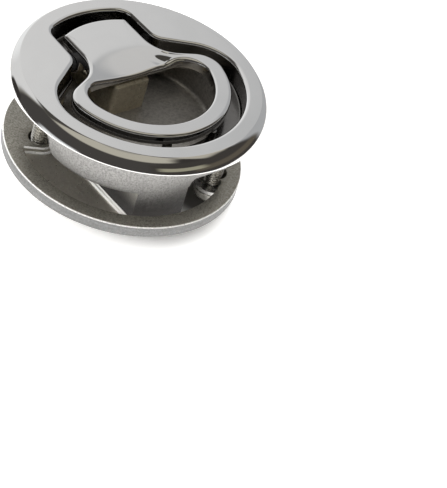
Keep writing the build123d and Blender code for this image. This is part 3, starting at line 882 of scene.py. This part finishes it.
def threaded(x, y, z0, z1, r_major, pitch, name):
    n = 64
    rows = int((z1 - z0) / pitch * 12)
    t = np.linspace(0, 2 * math.pi, n, endpoint=False)
    depth = 0.58 * pitch
    loops = []
    for k in range(rows + 1):
        z = z0 + (z1 - z0) * k / rows
        ph = (z / pitch - t / (2 * math.pi)) % 1.0
        tri = np.abs(ph - 0.5) * 2
        prof = np.clip((tri - 0.12) / 0.70, 0, 1)
        fade = min(1.0, (z1 - z) / 0.5)
        r = r_major - depth * (1 - prof) - (1 - fade) * 0.35
        loops.append(np.column_stack([x + r * np.cos(t), y + r * np.sin(t), np.full(n, z)]))
    b = Build()
    rr = b.loft(loops)
    b.cap(rr[-1], (x, y, z1))
    return b.mesh(name)


for side, (x, y) in zip(("left", "right"), CLAMPS):
    z_head = Z_PLATE - T_PLATE - 0.8 - 0.9
    shank = threaded(x, y, z_head - 0.1, -6.6, 2.0, 0.7, "shank")
    b = Build()
    t = np.linspace(0, 2 * math.pi, 72, endpoint=False)
    prof = [(0.02, z_head), (3.65, z_head), (3.8, z_head - 0.15), (3.8, z_head - 1.4)]
    prof += [(2.9 + 0.9 * math.cos(math.radians(a)), z_head - 1.4 - 0.9 * math.sin(math.radians(a))) for a in (15, 30, 45, 60, 75, 90)]
    prof += [(0.02, z_head - 2.3)]
    b.loft([np.column_stack([x + r * np.cos(t), y + r * np.sin(t), np.full(72, z)]) for r, z in prof])
    head = b.mesh("head")
    bm = bmesh.new()
    bm.from_mesh(head)
    bmesh.ops.remove_doubles(bm, verts=bm.verts, dist=3e-5)
    bmesh.ops.recalc_face_normals(bm, faces=bm.faces)
    bm.to_mesh(head)
    bm.free()
    cross = []
    for turn in (30, 120):
        m = box_mesh(-2.1, 2.1, -0.4, 0.4, z_head - 3.0, z_head - 0.9)
        m.transform(Matrix.Translation((x * MM, y * MM, 0)) @ Matrix.Rotation(math.radians(turn), 4, "Z"))
        cross.append(m)
    head = combine(head, cross, "DIFFERENCE")
    link(f"clamp_screw_{side}_thread_and_head", join([shank, head], "screw"), MAT_SCREW, node=f"clamp_screw_{side}")

# ------------------------------------------------------------------ springs


def coil(radius, wire, turns, length, n_per=28, n_ring=10, closed_ends=0.75):
    """Round wire wound round +Z from 0; the end turns lie flat against their neighbours."""
    total = int(turns * n_per)
    pts = []
    dead = closed_ends
    for k in range(total + 1):
        u = k / n_per
        lo, hi = min(u, dead), max(0.0, u - (turns - dead))
        live = u - lo - hi
        z = (lo + hi) * 2 * wire * 1.04 + live * (length - 2 * wire - 2 * dead * 2 * wire * 1.04) / (turns - 2 * dead) + wire
        a = 2 * math.pi * u
        pts.append((radius * math.cos(a), radius * math.sin(a), z))
    return tube(pts, wire, n_ring)


def tube(pts, r, n_ring=10):
    pts = np.array(pts, float)
    tan = np.gradient(pts, axis=0)
    tan /= np.linalg.norm(tan, axis=1)[:, None]
    ref = np.array([0.0, 0.0, 1.0]) if abs(tan[0][2]) < 0.9 else np.array([1.0, 0.0, 0.0])
    loops = []
    nrm = ref - tan[0] * np.dot(ref, tan[0])
    nrm /= np.linalg.norm(nrm)
    for p, t in zip(pts, tan):
        nrm = nrm - t * np.dot(nrm, t)
        nrm /= np.linalg.norm(nrm)
        bi = np.cross(t, nrm)
        a = np.linspace(0, 2 * math.pi, n_ring, endpoint=False)
        loops.append(p + r * (np.cos(a)[:, None] * nrm + np.sin(a)[:, None] * bi))
    b = Build()
    rr = b.loft(loops)
    b.cap(rr[0], pts[0], flip=True)
    b.cap(rr[-1], pts[-1])
    me = b.mesh("tube")
    bm = bmesh.new()
    bm.from_mesh(me)
    bmesh.ops.recalc_face_normals(bm, faces=bm.faces)
    bm.to_mesh(me)
    bm.free()
    return me


# bright tubes round the left ear, at its top and at its foot: painted highlights on the ear's edges
cx_, cy_ = CLAMPS[0]
ea = math.atan2(cy_, cx_)
ux, uy = math.cos(ea), math.sin(ea)
nx, ny = math.cos(ea + math.pi / 2), math.sin(ea + math.pi / 2)
edges = []
for off, z, rr_, reach in ((3.82, Z_PLATE - 0.16, 0.26, 4.0), (4.25, Z_PLATE_FLOOR + 0.14, 0.34, 3.6)):
    line = [(cx_ + ux * t + nx * off, cy_ + uy * t + ny * off, z) for t in np.linspace(reach, 0.2, 8)]
    bend = [(cx_ + off * math.cos(a), cy_ + off * math.sin(a), z) for a in np.linspace(ea + math.pi / 2, math.radians(350), 30)]
    edges.append(tube(line + bend, rr_))
link("ear_highlight_tubes_left", join(edges, "ear_highlight_tubes"), MAT_EDGE_HIGHLIGHT, node="back_plate")

for side, x in (("left", -3.4), ("right", 3.4)):
    L = 14.0 + 7.6 - 0.06
    me = coil(1.28, 0.22, 15, L)
    me.transform(Matrix.Translation((x * MM, (-7.6 + 0.03) * MM, -23.65 * MM)) @ Matrix.Rotation(math.radians(-90), 4, "X"))
    o = link(f"bolt_spring_{side}_coil", me, MAT_WIRE, node=f"bolt_spring_{side}")
    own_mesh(o)

# the handle's spring: its coil and rear leg go with the handle, the other leg stays on the cup's floor
rr, wr = 1.75, 0.3
pts = []
for k in range(0, 29 * 3 + 1):
    a = 2 * math.pi * k / 29
    pts.append((2.75 + 2.04 * k / (29 * 3), Y_HINGE + rr * math.sin(a), Z_HINGE + rr * math.cos(a)))
lead = [(2.75, Y_HINGE + 2.5 - 0.4 * i, Z_HINGE + rr) for i in range(0, 6)]
me = tube(lead + pts[1:], wr)
link("handle_spring_coil", me, MAT_WIRE, body="handle", node="handle_spring")
me = tube([(4.79, Y_HINGE + rr, z) for z in np.linspace(-4.82, -1.9, 8)], wr)
link("handle_spring_leg", me, MAT_WIRE, node="handle_spring")

# ------------------------------------------------------------------ remaining pieces keep their CAD shape
CARRY = {"hinge_pin": MAT_PIN, "pivot_bush_left": MAT_BUSH, "pivot_bush_right": MAT_BUSH, "slide_bolt": MAT_BOLT,
         "spring_guide_left": MAT_PIN, "spring_guide_right": MAT_PIN, "rear_cover": MAT_COVER,
         "flat_washer_left": MAT_WASHER, "flat_washer_right": MAT_WASHER, "lock_washer_left": MAT_WASHER, "lock_washer_right": MAT_WASHER}
for i in range(1, 5):
    CARRY[f"cover_screw_{i}"] = MAT_SCREW
for name, mat in CARRY.items():
    o = nodes[name]
    for s in o.material_slots:
        s.material = mat

# ------------------------------------------------------------------ floor, light and camera
floor_z = -27.75 * MM
me = bpy.data.meshes.new("floor")
me.from_pydata([(-3, -3, floor_z), (3, -3, floor_z), (3, 3, floor_z), (-3, 3, floor_z)], [], [(0, 1, 2, 3)])
floor = bpy.data.objects.new("floor", me)
bpy.context.scene.collection.objects.link(floor)
fm, nt, fb, co = new_material("floor_paper")
fb.inputs["Roughness"].default_value = 0.9
fb.inputs["Specular IOR Level"].default_value = 0.1
# the paper glows a little, apart from the part that the latch shades
fb.inputs["Emission Color"].default_value = (1, 1, 1, 1)
spot = nt.nodes.new("ShaderNodeVectorMath")
spot.operation = "DISTANCE"
nt.links.new(co, spot.inputs[0])
spot.inputs[1].default_value = (0.005, -0.002, floor_z)
glow = nt.nodes.new("ShaderNodeMapRange")
glow.interpolation_type = "SMOOTHSTEP"
for key, val in (("From Min", 0.0180), ("From Max", 0.0265), ("To Min", 0.0), ("To Max", 0.62)):
    glow.inputs[key].default_value = val
nt.links.new(spot.outputs["Value"], glow.inputs["Value"])
nt.links.new(glow.outputs[0], fb.inputs["Emission Strength"])
paper = ramp(nt, noise(nt, co, 3.0, 2.0), [(0.3, (0.90, 0.90, 0.90)), (0.7, (0.93, 0.93, 0.93))])
# soft contact shade under the right clamp screw's head
shade = nt.nodes.new("ShaderNodeVectorMath")
shade.operation = "DISTANCE"
nt.links.new(co, shade.inputs[0])
shade.inputs[1].default_value = (0.0145, -0.0135, floor_z)
fade = nt.nodes.new("ShaderNodeMapRange")
fade.interpolation_type = "SMOOTHSTEP"
fade.inputs["From Min"].default_value = 0.0035
fade.inputs["From Max"].default_value = 0.0095
nt.links.new(shade.outputs["Value"], fade.inputs["Value"])
nt.links.new(mix(nt, fade.outputs[0], (0.11, 0.105, 0.10), paper), fb.inputs["Base Color"])
me.materials.append(fm)

bpy.context.scene.view_settings.view_transform = "Standard"
world = bpy.data.worlds.new("studio")
bpy.context.scene.world = world
world.use_nodes = True
nt = world.node_tree
nt.nodes.clear()
wo = nt.nodes.new("ShaderNodeOutputWorld")
bg = nt.nodes.new("ShaderNodeBackground")
nt.links.new(bg.outputs[0], wo.inputs[0])
tc = nt.nodes.new("ShaderNodeTexCoord")
vec = tc.outputs["Generated"]


def node(kind, **props):
    n = nt.nodes.new(kind)
    for k, v in props.items():
        setattr(n, k, v)
    return n


def smoothstep(value, lo, hi):
    mr = node("ShaderNodeMapRange", interpolation_type="SMOOTHSTEP")
    mr.inputs["From Min"].default_value = lo
    mr.inputs["From Max"].default_value = hi
    nt.links.new(value, mr.inputs["Value"])
    return mr.outputs[0]


def times(a, c):
    m = node("ShaderNodeMath", operation="MULTIPLY")
    nt.links.new(a, m.inputs[0])
    nt.links.new(c, m.inputs[1])
    return m.outputs[0]


def away(az, el):
    a, e = math.radians(az), math.radians(el)
    return (math.cos(a) * math.cos(e), math.sin(a) * math.cos(e), math.sin(e))


def lobe(az, el, inner_deg, outer_deg):
    """1 inside a cone of directions, 0 outside it."""
    d = node("ShaderNodeVectorMath", operation="DOT_PRODUCT")
    nt.links.new(vec, d.inputs[0])
    d.inputs[1].default_value = away(az, el)
    return smoothstep(d.outputs["Value"], math.cos(math.radians(outer_deg)), math.cos(math.radians(inner_deg)))


flat_dir = node("ShaderNodeVectorMath", operation="MULTIPLY")
nt.links.new(vec, flat_dir.inputs[0])
flat_dir.inputs[1].default_value = (1, 1, 0)
level = node("ShaderNodeVectorMath", operation="NORMALIZE")
nt.links.new(flat_dir.outputs[0], level.inputs[0])
sep = node("ShaderNodeSeparateXYZ")
nt.links.new(vec, sep.inputs[0])
height = sep.outputs["Z"]


def sector(az, half_in, half_out):
    """1 within a range of compass directions."""
    d = node("ShaderNodeVectorMath", operation="DOT_PRODUCT")
    nt.links.new(level.outputs[0], d.inputs[0])
    d.inputs[1].default_value = away(az, 0)
    return smoothstep(d.outputs["Value"], math.cos(math.radians(half_out)), math.cos(math.radians(half_in)))


def sin_d(deg):
    return math.sin(math.radians(deg))


def outside(a):
    m = node("ShaderNodeMath", operation="SUBTRACT")
    m.inputs[0].default_value = 1.0
    nt.links.new(a, m.inputs[1])
    return m.outputs[0]


def between(a, b, c, d):
    """1 between two heights above the horizon."""
    return times(smoothstep(height, sin_d(a), sin_d(b)), smoothstep(height, sin_d(d), sin_d(c)))


def wmix(fac, a, c):
    return mix(nt, fac, a, c)


# pale walls behind, a warm ceiling, a dark room on the side that faces the latch's finger end, and a white table edge
out = wmix(sector(80, 28, 46), (0.45, 0.46, 0.475), (0.78, 0.785, 0.79))
out = wmix(lobe(72, 6, 8, 26), out, (0.98, 1.0, 1.01))
out = wmix(times(sector(20, 42, 60), between(37, 46, 72, 78)), out, (0.64, 0.64, 0.64))
near = sector(228, 104, 116)
out = wmix(near, out, (0.52, 0.495, 0.425))
out = wmix(lobe(40, 90, 7, 10), out, (0.40, 0.385, 0.34))
band = times(near, smoothstep(height, sin_d(56), sin_d(50)))
out = wmix(band, out, (0.065, 0.061, 0.058))
out = wmix(times(times(band, sector(228, 66, 78)), smoothstep(height, sin_d(8), sin_d(0))), out, (0.62, 0.61, 0.60))
ring = times(times(lobe(40, 40, 49, 52), outside(lobe(40, 40, 36.5, 39.0))), smoothstep(height, sin_d(48), sin_d(58)))
out = wmix(ring, out, (0.06, 0.056, 0.05))
out = wmix(times(sector(112, 20, 30), between(48, 54, 76, 82)), out, (0.07, 0.066, 0.06))
out = wmix(lobe(316, 42, 20, 29), out, (0.045, 0.040, 0.038))
out = wmix(times(sector(338, 16, 26), between(44, 50, 66, 72)), out, (0.50, 0.475, 0.41))
out = wmix(times(sector(300, 34, 44), smoothstep(height, sin_d(56), sin_d(44))), out, (0.055, 0.050, 0.046))
out = wmix(times(sector(300, 44, 54), smoothstep(height, sin_d(44), sin_d(38))), out, (0.055, 0.050, 0.046))
out = wmix(times(sector(318, 26, 36), between(7, 12, 21, 28)), out, (0.115, 0.10, 0.078))
out = wmix(times(sector(277, 13, 24), between(16, 18, 28, 31)), out, (0.36, 0.345, 0.26))
out = wmix(times(sector(174, 10, 22), smoothstep(height, sin_d(14), sin_d(7))), out, (0.95, 0.98, 1.0))
out = wmix(lobe(118, 3, 9, 13), out, (0.04, 0.037, 0.034))
nt.links.new(out, bg.inputs["Color"])
bg.inputs["Strength"].default_value = 1.0


def area(name, loc, target, size, power, color=(1, 1, 1), mirrored=True):
    l = bpy.data.lights.new(name, "AREA")
    l.shape = "RECTANGLE"
    l.size, l.size_y = size
    l.energy = power
    l.color = color
    o = bpy.data.objects.new(name, l)
    bpy.context.scene.collection.objects.link(o)
    o.location = loc
    o.rotation_euler = (Vector(target) - Vector(loc)).to_track_quat("-Z", "Y").to_euler()
    o.visible_glossy = mirrored
    return o


area("overhead", (-0.2, -0.1, 1.6), (0, 0, 0), (2.4, 2.4), 34.0, mirrored=False)
area("side", (-0.9, 0.1, 0.3), (0, 0, 0), (0.5, 0.5), 7.0, mirrored=False)

cam_data = bpy.data.cameras.new("camera")
cam = bpy.data.objects.new("camera", cam_data)
bpy.context.scene.collection.objects.link(cam)
right = Vector((0.76307, -0.60049, 0.23908))
up = Vector((0.27020, 0.63250, 0.72590))
back = right.cross(up).normalized()
up = back.cross(right).normalized()
right = right.normalized()
rot = Matrix((right, up, back)).transposed().to_4x4()
cam.matrix_world = Matrix.Translation((-0.29029, -0.28033, 0.30259)) @ rot
cam_data.sensor_width = 36.0
cam_data.lens = 2200.0 / 488.0 * 36.0
cam_data.clip_start = 0.01
cam_data.clip_end = 20
bpy.context.scene.camera = cam
